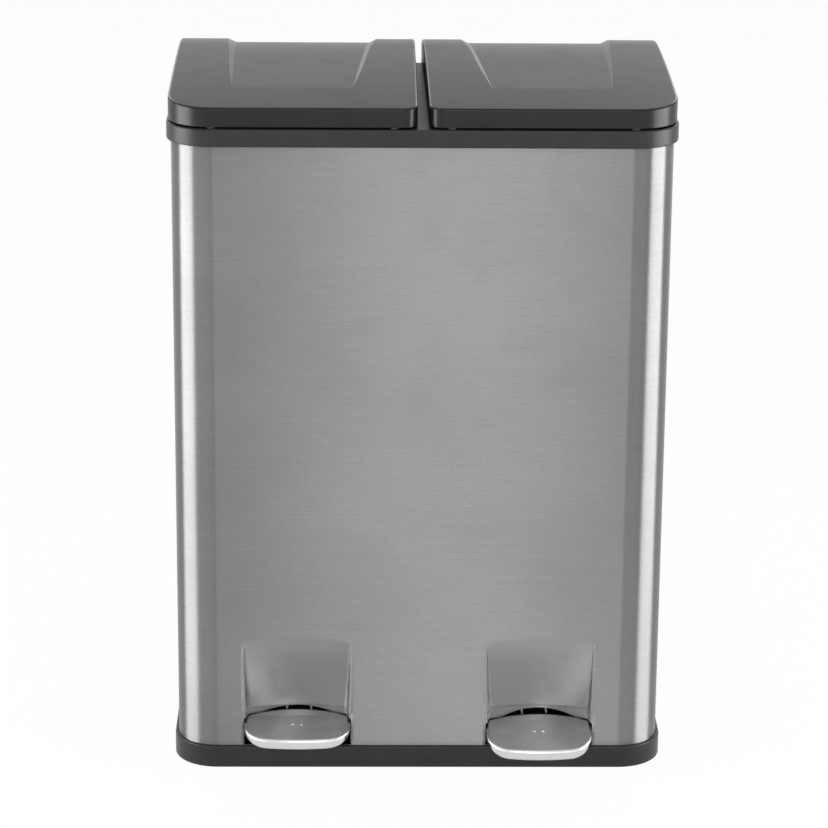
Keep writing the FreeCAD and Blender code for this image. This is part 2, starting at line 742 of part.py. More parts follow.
def make_collar():
    """The moulded collar: rim, skirt inside the sleeve, two throats with ledges, the hinge channel."""
    body = new_body("CollarRing")
    plan = new_sketch(body, "CollarPlan", "XY_Plane", S.collar_level)
    plan_loop(plan, NONE)
    pad(body, plan, S.collar_height)
    low, top = S.collar_level.value, COLLAR_TOP.value
    fillet(body, S.edge_round, lambda edge: lies_at(edge, low) or lies_at(edge, top))
    skirt_in = S.sleeve_inset + S.sheet_gauge + S.slip
    skirt = new_sketch(body, "Skirt", "XY_Plane", S.collar_level - S.skirt_drop)
    plan_loop(skirt, skirt_in)
    plan_loop(skirt, skirt_in + S.moulding)
    pad(body, skirt, S.skirt_drop + S.sleeve_lap)
    groove = new_sketch(body, "SleeveGroove", "XY_Plane", S.collar_level - BEYOND)
    plan_loop(groove, S.sleeve_inset - S.slip)
    plan_loop(groove, skirt_in)
    pocket(body, groove, S.sleeve_lap + BEYOND)
    chimneys = new_sketch(body, "Chimneys", "XY_Plane", S.collar_level - S.chimney_drop)
    for _name, side in SIDES:
        head_loop(chimneys, side, S.guide_gap + S.moulding)
    pad(body, chimneys, S.chimney_drop + S.sleeve_lap)
    throats = new_sketch(body, "Throats", "XY_Plane", S.collar_level - BEYOND)
    ledges = new_sketch(body, "Ledges", "XY_Plane", LEDGE_Z)
    for _name, side in SIDES:
        throat_loop(throats, side, NONE)
        throat_loop(ledges, side, S.ledge)
    pocket(body, throats, S.collar_height + BEYOND * 2)
    pocket(body, ledges, S.collar_height)
    channel = new_sketch(body, "Channel", "XY_Plane", CHANNEL_Z)
    rectangle(
        channel,
        (-HALF_WIDTH - BEYOND, CHANNEL_Y),
        (HALF_WIDTH + BEYOND, HALF_DEPTH + BEYOND),
    )
    pocket(body, channel, S.collar_height)
    wells = new_sketch(body, "CrankWells", "XY_Plane", CHANNEL_Z - S.moulding)
    passages = new_sketch(body, "HeadPassages", "XY_Plane", S.collar_level - S.chimney_drop - BEYOND)
    for _name, side in SIDES:
        x = SPREAD * side
        half_well = S.arm_spread + S.crank_gauge + S.guide_gap * 2
        rectangle(wells, (x - half_well, CHANNEL_Y), (x + half_well, CRANK_Y + S.crank_eye * 2))
        head_loop(passages, side, S.guide_gap)
    pocket(body, wells, S.collar_height)
    pocket(body, passages, S.chimney_drop + S.collar_height)
    pieces = [body]
    for _name, side in SIDES:
        for offset in ear_places():
            pieces.append(hinge_ear("HingeEar", SPREAD * side + offset))
    keep("top_collar", fuse("Collar", pieces))


def head_loop(sketch, side, grow):
    """The plan of a rod's head, drawn out by a step on every side."""
    x = SPREAD * side
    half_x = S.head_width / 2 + grow
    half_y = S.head_depth / 2 + grow
    rectangle(sketch, (x - half_x, ROD_Y - half_y), (x + half_x, ROD_Y + half_y))


def make_bumpers():
    """Rubber discs on the collar's front rim, two under each lid."""
    y = S.bumper_inset - HALF_DEPTH
    discs = []
    for side in (-1, 1):
        inner = (S.slot_front + S.lid_inner_corner + S.bumper_radius * 2) * side
        outer = (HALF_WIDTH - S.collar_corner) * side
        for x in (inner, outer):
            discs.append(rod("Bumper", S.bumper_radius, S.lid_gap, (x, y, COLLAR_TOP)))
    keep("lid_bumpers", group("Bumpers", discs))


def make_hinge_pins():
    reach = LUG_SPREAD + S.lug_width / 2 + S.side_gap + S.ear_gauge + S.pin_overhang
    for name, side in SIDES:
        start = (SPREAD * side - reach, HINGE_Y, HINGE_Z)
        pin = rod("HingePin", S.hinge_pin_radius, reach * 2, start, along="X")
        keep(f"hinge_pin_{name}", group("HingePinSet", [pin]))


# ---------------------------------------------------------------- lids


def rims_dome(edge):
    """Is this one of the edges round a lid's top?"""
    middle = edge.valueAt((edge.FirstParameter + edge.LastParameter) / 2)
    if abs(middle.y) > LID_EDGE.value + 1e-3:
        return False
    on_dome = abs(middle.z - dome_height(as_size(middle.y)).value) < NEAR
    is_crest = edge.BoundBox.YLength < 1e-3 and abs(middle.y - LID_CREST.value) < 1e-3
    return on_dome and not is_crest


def lid_solid(label, side, inset, floor, is_outer):
    """A lid's outer or inner form: its plan, pulled up and cut off under the dome."""
    body = new_body(label)
    plan = new_sketch(body, "LidPlan", "XY_Plane", floor)
    outer = (LID_SIDE - inset) * side
    front_in = (S.slot_front + inset) * side
    back_in = (S.slot_back + inset) * side
    edge = LID_EDGE - inset
    outline(plan, [(front_in, -edge), (outer, -edge), (outer, edge), (back_in, edge)])
    top = CREST_Z + BEYOND
    pad(body, plan, top - floor)
    outer_x = abs(outer.value)
    big = S.collar_corner - S.lid_inset - inset
    small = S.lid_inner_corner - inset
    fillet(body, big, lambda e: is_upright(e) and abs(abs(e.CenterOfMass.x) - outer_x) < 1e-3)
    fillet(body, small, lambda e: is_upright(e) and abs(e.CenterOfMass.x) < SPREAD.value)
    dome = new_sketch(body, "Dome", "YZ_Plane")
    crease = CREASE_Z - inset
    crest = CREST_Z - inset
    back = crest - S.lid_fall
    corners = [
        (-LID_EDGE - BEYOND, crease),
        (-LID_EDGE, crease, FRONT_DOME, -1),
        (LID_CREST, crest, BACK_DOME, -1),
        (LID_EDGE, back),
        (LID_EDGE + BEYOND, back),
        (LID_EDGE + BEYOND, top + BEYOND),
        (-LID_EDGE - BEYOND, top + BEYOND),
    ]
    outline(dome, corners)
    pocket(body, dome, S.collar_width + BEYOND, both_ways=True)
    if is_outer:
        fillet(body, S.lid_round, rims_dome)
        step = new_sketch(body, "FrontEdge", "YZ_Plane")
        tail_start = LID_EDGE - S.tail_length
        rectangle(step, (-LID_EDGE - BEYOND, floor - BEYOND), (tail_start, LID_BASE))
        pocket(body, step, S.collar_width + BEYOND, both_ways=True)
    return body


def scoop(label, side, drop, top_gap):
    """A lid's pressed panel: flush at its front, deepest at the back, with sloping sides."""
    body = new_body(label)
    length = SCOOP_AHEAD + LID_EDGE
    near_front = S.slot_front + S.panel_in_front
    near_back = S.slot_back + S.panel_in_back
    far_front = LID_SIDE - S.panel_out_front
    far_back = LID_SIDE - S.panel_out_back
    sketches = []
    for step in range(SECTIONS):
        way = step / (SECTIONS - 1)
        y = -SCOOP_AHEAD + length * way
        depth = panel_depth(y)
        low = dome_height(y) - depth - drop
        high = dome_height(y) + top_gap
        reach = S.scoop_ramp * (high - low)
        run = S.scoop_ramp * depth
        near = near_front + (near_back - near_front) * way + run - drop
        far = far_front + (far_back - far_front) * way - run + drop
        sketch = new_sketch(body, "PanelSection", "XZ_Plane", -y)
        corners = [
            (near * side, low),
            (far * side, low),
            ((far + reach) * side, high),
            ((near - reach) * side, high),
        ]
        outline(sketch, corners)
        sketches.append(sketch)
    loft(body, sketches)
    return body


def hinge_lug(side, offset):
    """A lug that hangs from a lid's back round its hinge pin."""
    body = new_body("HingeLug")
    sketch = new_sketch(body, "LugShape", "YZ_Plane", SPREAD * side + offset - S.lug_width / 2)
    radius = S.boss_radius
    corners = [
        (HINGE_Y - radius, CREST_Z),
        (HINGE_Y - radius, HINGE_Z, radius, 1),
        (HINGE_Y, HINGE_Z - radius, radius, 1),
        (HINGE_Y + radius, HINGE_Z),
        (HINGE_Y + radius, CREST_Z),
    ]
    outline(sketch, corners)
    pad(body, sketch, S.lug_width)
    return body


def crank_screw_places():
    """The two screws of a crank, from the front of the bin's middle."""
    inset = S.boss_radius
    return (PLATE_FRONT + inset, PLATE_BACK - inset)


def make_lid(name, side):
    """A lid's shell with its pressed panel, ribs, crank pad and two hinge lugs."""
    outer = lid_solid("LidOuter", side, NONE, TAIL_Z, True)
    inner = lid_solid("LidInner", side, S.moulding, TAIL_Z - BEYOND, False)
    shell = cut("LidShell", outer, inner)
    x = SPREAD * side
    half_pad = S.pad_width / 2
    parts = [scoop("PanelBacking", side, S.moulding, BACKING_OVER)]
    parts.append(
        block(
            "CrankPad",
            (x - half_pad, PLATE_FRONT, PLATE_Z),
            (x + half_pad, PLATE_BACK, CREST_Z),
        )
    )
    for turn in (-1, 1):
        rib = x + S.pad_width * 1.5 * turn
        parts.append(
            block(
                "LidRib",
                (rib - S.rib_gauge / 2, -LID_EDGE + S.moulding / 2, RIB_Z),
                (rib + S.rib_gauge / 2, HINGE_Y - S.boss_radius, CREST_Z),
            )
        )
        parts.append(hinge_lug(side, LUG_SPREAD * turn))
    inside = common("LidFittings", [outer, fuse("LidFittingSet", parts)])
    bore = rod(
        "LidBore",
        S.hinge_pin_radius + S.running_gap,
        S.collar_width,
        (x - HALF_WIDTH, HINGE_Y, HINGE_Z),
        along="X",
    )
    tools = [scoop("Panel", side, NONE, PANEL_OVER)]
    half_bore = LUG_SPREAD + S.lug_width
    tools.append(common("LugBore", [bore, block(
        "BoreReach",
        (x - half_bore, HINGE_Y - BEYOND * 2, HINGE_Z - BEYOND * 2),
        (x + half_bore, HINGE_Y + BEYOND * 2, HINGE_Z + BEYOND * 2),
    )]))
    for y in crank_screw_places():
        tools.append(rod("PadHole", S.screw_radius, S.crank_bite, (x, y, PLATE_Z)))
    whole = fuse("LidWhole", [shell, inside])
    keep(f"lid_{name}", cut("Lid", whole, fuse("LidCuts", tools)))


def make_crank(name, side):
    """The folded steel crank under a lid: a plate on the lid's pad and two arms down to the crank pin."""
    x = SPREAD * side
    half = S.arm_spread + S.crank_gauge
    body = new_body("Crank")
    low = PLATE_Z - S.crank_gauge
    plate = new_sketch(body, "PlatePlan", "XY_Plane", low)
    rectangle(plate, (x - half, PLATE_FRONT), (x + half, PLATE_BACK))
    for y in crank_screw_places():
        circle(plate, x, y, S.screw_radius)
    pad(body, plate, S.crank_gauge)
    eye = S.crank_eye
    lip = PLATE_Z - S.crank_lip
    for start in (x - half, x + S.arm_spread):
        arm = new_sketch(body, "ArmShape", "YZ_Plane", start)
        corners = [
            (PLATE_FRONT, lip),
            (PLATE_BACK - BEYOND, lip),
            (CRANK_Y - eye, CRANK_Z, eye, 1),
            (CRANK_Y, CRANK_Z - eye, eye, 1),
            (CRANK_Y + eye, CRANK_Z),
            (CRANK_Y + eye, lip - BEYOND),
            (PLATE_BACK, PLATE_Z),
            (PLATE_FRONT, PLATE_Z),
        ]
        outline(arm, corners)
        circle(arm, CRANK_Y, CRANK_Z, S.hinge_pin_radius)
        pad(body, arm, S.crank_gauge)
    keep(f"lift_crank_{name}", body)
    reach = half + S.crank_gauge
    start = (x - reach, CRANK_Y, CRANK_Z)
    pin = rod("CrankPin", S.hinge_pin_radius, reach * 2, start, along="X")
    keep(f"crank_pin_{name}", group("CrankPinSet", [pin]))
    screws = []
    for y in crank_screw_places():
        shank = rod("CrankShank", S.screw_radius, S.crank_gauge + S.crank_bite, (x, y, low))
        head_radius = S.screw_radius * HEAD_OVER_SHANK
        head = rod("CrankHead", head_radius, S.screw_head, (x, y, low - S.screw_head))
        screws.append(fuse("CrankScrew", [shank, head]))
    keep(f"crank_screws_{name}", group("CrankScrews", screws))


# ---------------------------------------------------------------- rods


def make_rod(name, side):
    """The lift rod with its moulded head and foot."""
    x = SPREAD * side
    seat = S.foot_length / 3
    low = FOOT_BASE + seat
    high = HEAD_TOP - seat * 2
    stem = rod("LiftRod", S.rod_radius, high - low, (x, ROD_Y, low))
    keep(f"push_rod_{name}", group("LiftRodSet", [stem]))
    head = new_body("RodHead")
    plan = new_sketch(head, "HeadPlan", "XY_Plane", HEAD_TOP - S.head_length)
    head_loop(plan, side, NONE)
    pad(head, plan, S.head_length)
    bore = new_sketch(head, "HeadBore", "XY_Plane", HEAD_TOP - S.head_length - BEYOND)
    circle(bore, x, ROD_Y, S.rod_radius)
    pocket(head, bore, S.head_length + BEYOND - seat * 2)
    keep(f"rod_head_{name}", head)
    foot = new_body("RodFoot")
    profile = new_sketch(foot, "FootProfile", "YZ_Plane", x)
    radius = S.rod_foot_radius
    flat = radius / 4
    dome = radius / 3
    corners = [
        (ROD_Y, FOOT_BASE),
        (ROD_Y + flat, FOOT_BASE),
        (ROD_Y + radius, FOOT_BASE + dome),
        (ROD_Y + radius, FOOT_BASE + S.foot_length),
        (ROD_Y + S.rod_radius, FOOT_BASE + S.foot_length),
        (ROD_Y + S.rod_radius, FOOT_BASE + seat),
        (ROD_Y, FOOT_BASE + seat),
    ]
    outline(profile, corners)
    turned = foot.newObject("PartDesign::Revolution", "FootTurned")
    turned.Profile = profile
    turned.ReferenceAxis = (profile, ["Edge7"])
    turned.Angle = 360.0
    foot.Tip = turned
    keep(f"rod_foot_{name}", foot)


def guide_rivet_levels():
    """Heights of the two rivets that hold a guide to the sleeve."""
    offset = S.guide_flange / 2 - S.guide_height / 2
    return (S.guide_level - offset, S.guide_level + offset)


def guide_rivet(x, level):
    """A rivet from behind the sleeve through a guide's flange, flared inside."""
    gauge = S.sheet_gauge
    inside = SLEEVE_Y - gauge - S.moulding
    shank = rod("RivetShank", S.rivet_radius, gauge + S.moulding, (x, inside, level), along="Y")
    head_radius = S.rivet_radius * HEAD_OVER_SHANK
    cap = rod("RivetCap", head_radius, gauge, (x, SLEEVE_Y, level), along="Y")
    flare_radius = S.rivet_radius * FLARE_OVER_SHANK
    flare = rod("RivetFlare", flare_radius, gauge, (x, inside - gauge, level), along="Y")
    return fuse("GuideRivet", [shank, cap, flare])


def make_guides():
    """A moulded guide on the sleeve's back half way up each rod, with two rivets."""
    wall = SLEEVE_Y - S.sheet_gauge
    rivets = []
    for name, side in SIDES:
        x = SPREAD * side
        half = S.guide_width / 2
        body = new_body("Guide")
        flange = new_sketch(body, "Flange", "XZ_Plane", -wall)
        low = S.guide_level - S.guide_flange / 2
        rectangle(flange, (x - half, low), (x + half, low + S.guide_flange))
        for level in guide_rivet_levels():
            circle(flange, x, level, S.rivet_radius)
        pad(body, flange, S.moulding)
        boss = new_sketch(body, "Boss", "XY_Plane", S.guide_level - S.guide_height / 2)
        front = ROD_Y - S.rod_foot_radius
        quarter = S.rod_foot_radius
        corners = [
            (x - quarter, ROD_Y, quarter, 1),
            (x, front, quarter, 1),
            (x + quarter, ROD_Y),
            (x + half, wall - S.moulding / 2),
            (x - half, wall - S.moulding / 2),
        ]
        outline(boss, corners)
        circle(boss, x, ROD_Y, S.rod_radius + S.running_gap)
        pad(body, boss, S.guide_height)
        keep(f"rod_guide_{name}", body)
        for level in guide_rivet_levels():
            rivets.append(guide_rivet(x, level))
    keep("guide_rivets", group("GuideRivets", rivets))


# ---------------------------------------------------------------- pedals


def pedal_plan(label, side, inset, top):
    """A pedal's plan pulled up from the floor: an arched back, large front corners, a bowed front."""
    body = new_body(label)
    sketch = new_sketch(body, "PedalPlan", "XY_Plane")
    x = SPREAD * side
    half = S.pedal_width / 2 - S.pedal_gap - inset
    shoulder = half - S.pedal_gap * 3
    tip = HALF_DEPTH + S.pedal_reach - inset
    arch = CREASE_AHEAD - REAR_AHEAD
    bow = S.pedal_bow
    corners = [
        (x - half, -tip + bow, dome_radius(half, bow), 1),
        (x + half, -tip + bow),
        (x + half, -CREASE_AHEAD - S.boss_radius),
        (x + shoulder, -CREASE_AHEAD, dome_radius(shoulder, arch), 1),
        (x - shoulder, -CREASE_AHEAD),
        (x - half, -CREASE_AHEAD - S.boss_radius),
    ]
    outline(sketch, corners)
    pad(body, sketch, top)
    edge_y = (-tip + bow).value
    fillet(
        body,
        S.pedal_corner - inset,
        lambda edge: is_upright(edge) and abs(edge.CenterOfMass.y - edge_y) < 1e-3,
    )
    return body


def pedal_profile(label, side, corners, width):
    """A pedal's side view pulled across its width."""
    body = new_body(label)
    sketch = new_sketch(body, "PedalProfile", "YZ_Plane", SPREAD * side)
    outline(sketch, corners)
    pad(body, sketch, width, both_ways=True)
    return body


def pedal_levels(name):
    """The crease's height and the slopes before and behind it."""
    level, tilt = {
        "left": (S.base_height + S.left_crease_rise, S.left_tilt),
        "right": (S.base_height + S.right_crease_rise, S.right_tilt),
    }[name]
    return level, tangent(tilt), tangent(S.rear_flap_slope)


def make_pedal(name, side):
    """The pressed steel pedal plate with its rolled rim."""
    level, slope, flap = pedal_levels(name)
    tip = HALF_DEPTH + S.pedal_reach
    run = tip - CREASE_AHEAD
    rear_run = CREASE_AHEAD - REAR_AHEAD
    front_top = level - slope * run
    ring_front = HALF_DEPTH + S.pedal_gap
    skin = level - S.pedal_gauge - slope * (ring_front - CREASE_AHEAD)
    outer_corners = [
        (-tip, front_top - S.pedal_rim),
        (-ring_front, skin - S.pedal_gauge),
        (-CREASE_AHEAD - S.boss_radius, level - slope * S.boss_radius - S.pedal_gauge * 2),
        (-CREASE_AHEAD, level - S.pedal_gauge),
        (-REAR_AHEAD, level + flap * rear_run - S.pedal_gauge),
        (-REAR_AHEAD, level + flap * rear_run),
        (-CREASE_AHEAD, level),
        (-tip, front_top),
    ]
    top = level + S.pedal_rim
    form = common(
        "PedalForm",
        [
            pedal_plan("PedalOuter", side, NONE, top),
            pedal_profile("PedalSide", side, outer_corners, S.pedal_width + BEYOND),
        ],
    )
    document.recompute()
    rolled = document.addObject("Part::Fillet", "PedalRolled")
    rolled.Base = form
    straight_back = -(CREASE_AHEAD + S.boss_radius).value
    edges = []
    for number, edge in enumerate(form.Shape.Edges, start=1):
        centre = edge.CenterOfMass
        is_on_top = abs(centre.z - (level + slope * (centre.y + CREASE_AHEAD)).value) < NEAR
        if is_on_top and centre.y < straight_back - NEAR:
            edges.append((number, S.pedal_roll.value, S.pedal_roll.value))
    rolled.Edges = edges
    below = level - S.pedal_gauge
    hollow_corners = [
        (-tip - BEYOND, below - slope * (run + BEYOND)),
        (-tip - BEYOND, front_top - S.pedal_rim * 2),
        (-CREASE_AHEAD, skin - S.pedal_rim * 2),
        (-CREASE_AHEAD, below),
    ]
    hollow = common(
        "PedalHollow",
        [
            pedal_plan("PedalInner", side, S.pedal_gauge, top),
            pedal_profile("PedalHollowSide", side, hollow_corners, S.pedal_width + BEYOND),
        ],
    )
    shell = cut("PedalShell", rolled, hollow)
    holes = [pedal_rivet(name, side, turn, True) for turn in (-1, 1)]
    keep(f"pedal_plate_{name}", cut("PedalPlate", shell, group("PedalHoles", holes)))
    rivets = [pedal_rivet(name, side, turn, False) for turn in (-1, 1)]
    keep(f"pedal_rivets_{name}", group("PedalRivets", rivets))


def pedal_rivet(name, side, turn, is_hole):
    """A rivet through the pedal and its lever's tongue, or the hole that it fills."""
    level, slope, _flap = pedal_levels(name)
    x = SPREAD * side + S.lever_width / 4 * turn
    y = -CREASE_AHEAD - S.lever_nose / 2
    surface = level - slope * (S.lever_nose / 2)
    stack = S.pedal_gauge + S.lever_gauge
    radius = S.rivet_radius / 2
    if is_hole:
        return rod("RivetHole", radius, stack * 3, (x, y, surface - stack * 2))
    length = stack + S.sheet_gauge
    return rod("PedalRivet", radius, length, (x, y, surface - length))


def make_lever(name, side):
    """The bent steel lever: a tongue under the pedal, a welded tube on the axle, a tail under the rod."""
    level, slope, _flap = pedal_levels(name)
    x = SPREAD * side
    body = new_body("Lever")
    tube = new_sketch(body, "Tube", "YZ_Plane", x)
    circle(tube, -AXLE_AHEAD, AXLE_Z, S.lever_tube_radius)
    pad(body, tube, S.lever_tube_length, both_ways=True)
    bar = new_sketch(body, "Bar", "YZ_Plane", x)
    seat = level - S.pedal_gauge
    nose = -CREASE_AHEAD - S.lever_nose
    nose_z = seat - slope * S.lever_nose
    tail = ROD_Y + S.lever_tail
    tail_z = LEVER_REAR_Z - LEVER_SLOPE * S.lever_tail
    under = S.lever_gauge
    corners = [
        (nose, nose_z - under),
        (-CREASE_AHEAD, seat - under),
        (-KNEE_AHEAD, LEVER_KNEE_Z - under),
        (tail, tail_z - under),
        (tail, tail_z),
        (-KNEE_AHEAD, LEVER_KNEE_Z),
        (-CREASE_AHEAD, seat),
        (nose, nose_z),
    ]
    outline(bar, corners)
    pad(body, bar, S.lever_width, both_ways=True)
    bore = new_sketch(body, "Bore", "YZ_Plane", x)
    circle(bore, -AXLE_AHEAD, AXLE_Z, S.axle_radius + S.running_gap)
    pocket(body, bore, S.lever_tube_length + BEYOND, both_ways=True)
    holes = group("LeverHoles", [pedal_rivet(name, side, turn, True) for turn in (-1, 1)])
    keep(f"pedal_lever_{name}", cut("LeverDrilled", body, holes))


def make_bracket(name, side):
    """The folded steel bracket that holds a lever's axle, with its axle, push nuts and screws."""
    x = SPREAD * side
    inner = S.lever_tube_length / 2 + S.side_gap
    outer = inner + S.bracket_gauge
    foot = outer + S.boss_radius + S.screw_radius * 2
    half = S.bracket_length / 2
    body = new_body("Bracket")
    plate = new_sketch(body, "BracketPlan", "XY_Plane", S.floor_top)
    rectangle(plate, (x - foot, -AXLE_AHEAD - half), (x + foot, -AXLE_AHEAD + half))
    for hole_x, hole_y in bracket_screw_places(side):
        circle(plate, hole_x, hole_y, S.screw_radius)
    pad(body, plate, S.bracket_gauge)
    ear = S.boss_radius
    for turn in (-1, 1):
        near = x + (inner if turn > 0 else -outer)
        cheek = new_sketch(body, "Cheek", "YZ_Plane", near)
        corners = [
            (-AXLE_AHEAD - half, S.floor_top),
            (-AXLE_AHEAD + half, S.floor_top),
            (-AXLE_AHEAD + half, S.floor_top + S.bracket_gauge * 2),
            (-AXLE_AHEAD + ear, AXLE_Z, ear, 1),
            (-AXLE_AHEAD, AXLE_Z + ear, ear, 1),
            (-AXLE_AHEAD - ear, AXLE_Z),
            (-AXLE_AHEAD - half, S.floor_top + S.bracket_gauge * 2),
        ]
        outline(cheek, corners)
        circle(cheek, -AXLE_AHEAD, AXLE_Z, S.axle_radius)
        pad(body, cheek, S.bracket_gauge)
    keep(f"axle_bracket_{name}", body)
    reach = outer + S.bracket_gauge * 2
    axle = rod("Axle", S.axle_radius, reach * 2, (x - reach, -AXLE_AHEAD, AXLE_Z), along="X")
    keep(f"lever_axle_{name}", group("AxleSet", [axle]))
    nuts = []
    for start in (x - outer - S.bracket_gauge / 2, x + outer):
        corner = (start, -AXLE_AHEAD, AXLE_Z)
        disc = rod("PushNut", S.boss_radius, S.bracket_gauge / 2, corner, along="X")
        hole = rod("PushNutHole", S.axle_radius, S.bracket_gauge / 2, corner, along="X")
        nuts.append(cut("PushNutRing", disc, hole))
    keep(f"axle_push_nuts_{name}", group("PushNuts", nuts))
    screws = []
    head_radius = S.screw_radius * HEAD_OVER_SHANK
    top = S.floor_top + S.bracket_gauge
    low = S.base_stand + S.moulding / 2
    for hole_x, hole_y in bracket_screw_places(side):
        shank = rod("BracketShank", S.screw_radius, top - low, (hole_x, hole_y, low))
        head = rod("BracketHead", head_radius, S.screw_head, (hole_x, hole_y, top))
        screws.append(fuse("BracketScrew", [shank, head]))
    keep(f"bracket_screws_{name}", group("BracketScrews", screws))


# ---------------------------------------------------------------- buckets


def make_bucket(name, side):
    """The lift-out bucket: tapered walls, a rim that hangs on the collar's ledge, two hand holes."""
    x = SPREAD * side
    half_x = (THROAT_SIDE - S.throat_bar) / 2 - S.bucket_gap
    half_y = (THROAT_AHEAD + THROAT_BACK) / 2 - S.bucket_gap
    middle_y = (THROAT_BACK - THROAT_AHEAD) / 2
    corner = S.throat_corner - S.bucket_gap
    body = new_body("Bucket")

    def level_loop(level, taper_x, taper_y, inset, round_by):
        sketch = new_sketch(body, "BucketSection", "XY_Plane", level)
        low = (x - half_x + taper_x + inset, middle_y - half_y + taper_y + inset)
        high = (x + half_x - taper_x - inset, middle_y + half_y - taper_y - inset)
        rounded_rectangle(sketch, low, high, corner - inset - round_by)
        return sketch

    top = LEDGE_Z + S.flange_gauge
    low_x, low_y = S.bucket_taper_x, S.bucket_taper_y
    outer_low = level_loop(BUCKET_Z, low_x, low_y, NONE, low_x / 2)
    outer_top = level_loop(top, NONE, NONE, NONE, NONE)
    loft(body, [outer_low, outer_top])
    flange = level_loop(LEDGE_Z, NONE, NONE, S.bucket_gap * 2 - S.ledge, NONE)
    pad(body, flange, S.flange_gauge)
    floor = BUCKET_Z + S.bucket_wall
    inner_low = level_loop(floor, low_x, low_y, S.bucket_wall, low_x / 2)
    inner_top = level_loop(top + S.bucket_wall, NONE, NONE, S.bucket_wall, NONE)
    loft(body, [inner_low, inner_top], True)
    grips = new_sketch(body, "HandHoles", "YZ_Plane", x)
    grip_top = LEDGE_Z - S.grip_drop
    grip_low = (middle_y - S.grip_length / 2, grip_top - S.grip_height)
    grip_high = (middle_y + S.grip_length / 2, grip_top)
    rounded_rectangle(grips, grip_low, grip_high, S.grip_height / 2.5)
    pocket(body, grips, half_x * 2 + BEYOND, both_ways=True)
    keep(f"inner_bucket_{name}", body)


def cuts_nothing(item):
    """Is this a cut that leaves its base as large as it was?"""
    if item.TypeId not in ("PartDesign::Pocket", "PartDesign::SubtractiveLoft"):
        return False
    return item.BaseFeature.Shape.Volume - item.Shape.Volume < 1e-3


def check_and_export():
    """Recomputes, refuses any failed object or bad solid, and writes one file for each sub-part."""
    document.recompute()
    for item in document.Objects:
        if "Invalid" in item.State or "Error" in item.State:
            raise RuntimeError(f"{item.Name} ({item.Label}) failed: {item.State}")
        if cuts_nothing(item):
            raise RuntimeError(f"{item.Name} ({item.Label}) cuts nothing away")
    os.makedirs("parts", exist_ok=True)
    for name, item in NODES.items():
        shape = item.Shape
        if shape.isNull() or not shape.isValid() or not shape.Solids:
            raise RuntimeError(f"{name} has no valid solid")
        shape.exportStep(f"parts/{name}.step")
        box = shape.BoundBox
        print(f"{name}: {len(shape.Solids)} solids, {shape.Volume / 1000:.1f} cm3, {box}")


make_sleeve()
make_base()
make_feet()
make_collar()
make_bumpers()
make_hinge_pins()
make_guides()
for SIDE_NAME, SIDE_SIGN in SIDES:
    make_lid(SIDE_NAME, SIDE_SIGN)
    make_crank(SIDE_NAME, SIDE_SIGN)
    make_rod(SIDE_NAME, SIDE_SIGN)
    make_pedal(SIDE_NAME, SIDE_SIGN)
    make_lever(SIDE_NAME, SIDE_SIGN)
    make_bracket(SIDE_NAME, SIDE_SIGN)
    make_bucket(SIDE_NAME, SIDE_SIGN)
check_and_export()
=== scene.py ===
import json
import math

import bpy
from mathutils import Matrix, Vector


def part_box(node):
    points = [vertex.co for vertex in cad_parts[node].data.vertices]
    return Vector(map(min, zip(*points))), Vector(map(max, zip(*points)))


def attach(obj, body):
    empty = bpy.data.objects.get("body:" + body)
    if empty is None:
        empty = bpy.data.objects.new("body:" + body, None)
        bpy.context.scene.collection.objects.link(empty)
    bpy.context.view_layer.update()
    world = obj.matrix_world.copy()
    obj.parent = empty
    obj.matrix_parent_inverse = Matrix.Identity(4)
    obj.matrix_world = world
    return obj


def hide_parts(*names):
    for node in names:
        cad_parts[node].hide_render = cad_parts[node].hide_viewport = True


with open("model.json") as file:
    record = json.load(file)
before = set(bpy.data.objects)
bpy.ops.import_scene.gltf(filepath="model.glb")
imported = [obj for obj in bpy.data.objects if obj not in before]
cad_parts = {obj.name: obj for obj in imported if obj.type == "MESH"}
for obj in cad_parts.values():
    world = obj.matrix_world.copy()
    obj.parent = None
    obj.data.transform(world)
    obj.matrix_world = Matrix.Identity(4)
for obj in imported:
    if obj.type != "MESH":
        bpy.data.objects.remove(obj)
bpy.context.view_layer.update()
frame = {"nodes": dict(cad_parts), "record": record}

SIDES = ("left", "right")


# ---------------------------------------------------------------- shader maths


class Socket:
    """A value that changes over a surface, with the sums that a recipe is written in."""

    def __init__(self, recipe, link):
        self.recipe = recipe
        self.link = link

    def sum(self, operation, *others):
        values = dict(enumerate((self, *others)))
        return self.recipe.add("ShaderNodeMath", {"operation": operation}, values)[0]

    def __add__(self, other):
        return self.sum("ADD", other)

    def __sub__(self, other):
        return self.sum("SUBTRACT", other)

    def __mul__(self, other):
        return self.sum("MULTIPLY", other)

    def __radd__(self, other):
        return self + other

    def __rmul__(self, other):
        return self * other

    def __rsub__(self, other):
        values = {0: other, 1: self}
        return self.recipe.add("ShaderNodeMath", {"operation": "SUBTRACT"}, values)[0]

    def absolute(self):
        return self.sum("ABSOLUTE")

    def largest(self, other):
        return self.sum("MAXIMUM", other)

    def step(self, low, high):
        """A smooth rise from 0 to 1 as the value goes from low to high."""
        settings = {"interpolation_type": "SMOOTHSTEP"}
        values = {"Value": self, "From Min": low, "From Max": high}
        return self.recipe.add("ShaderNodeMapRange", settings, values)["Result"]


class Outputs:
    """A node's outputs as sockets of its recipe, by number or name."""

    def __init__(self, recipe, node):
        self.recipe = recipe
        self.node = node

    def __getitem__(self, key):
        return Socket(self.recipe, self.node.outputs[key])


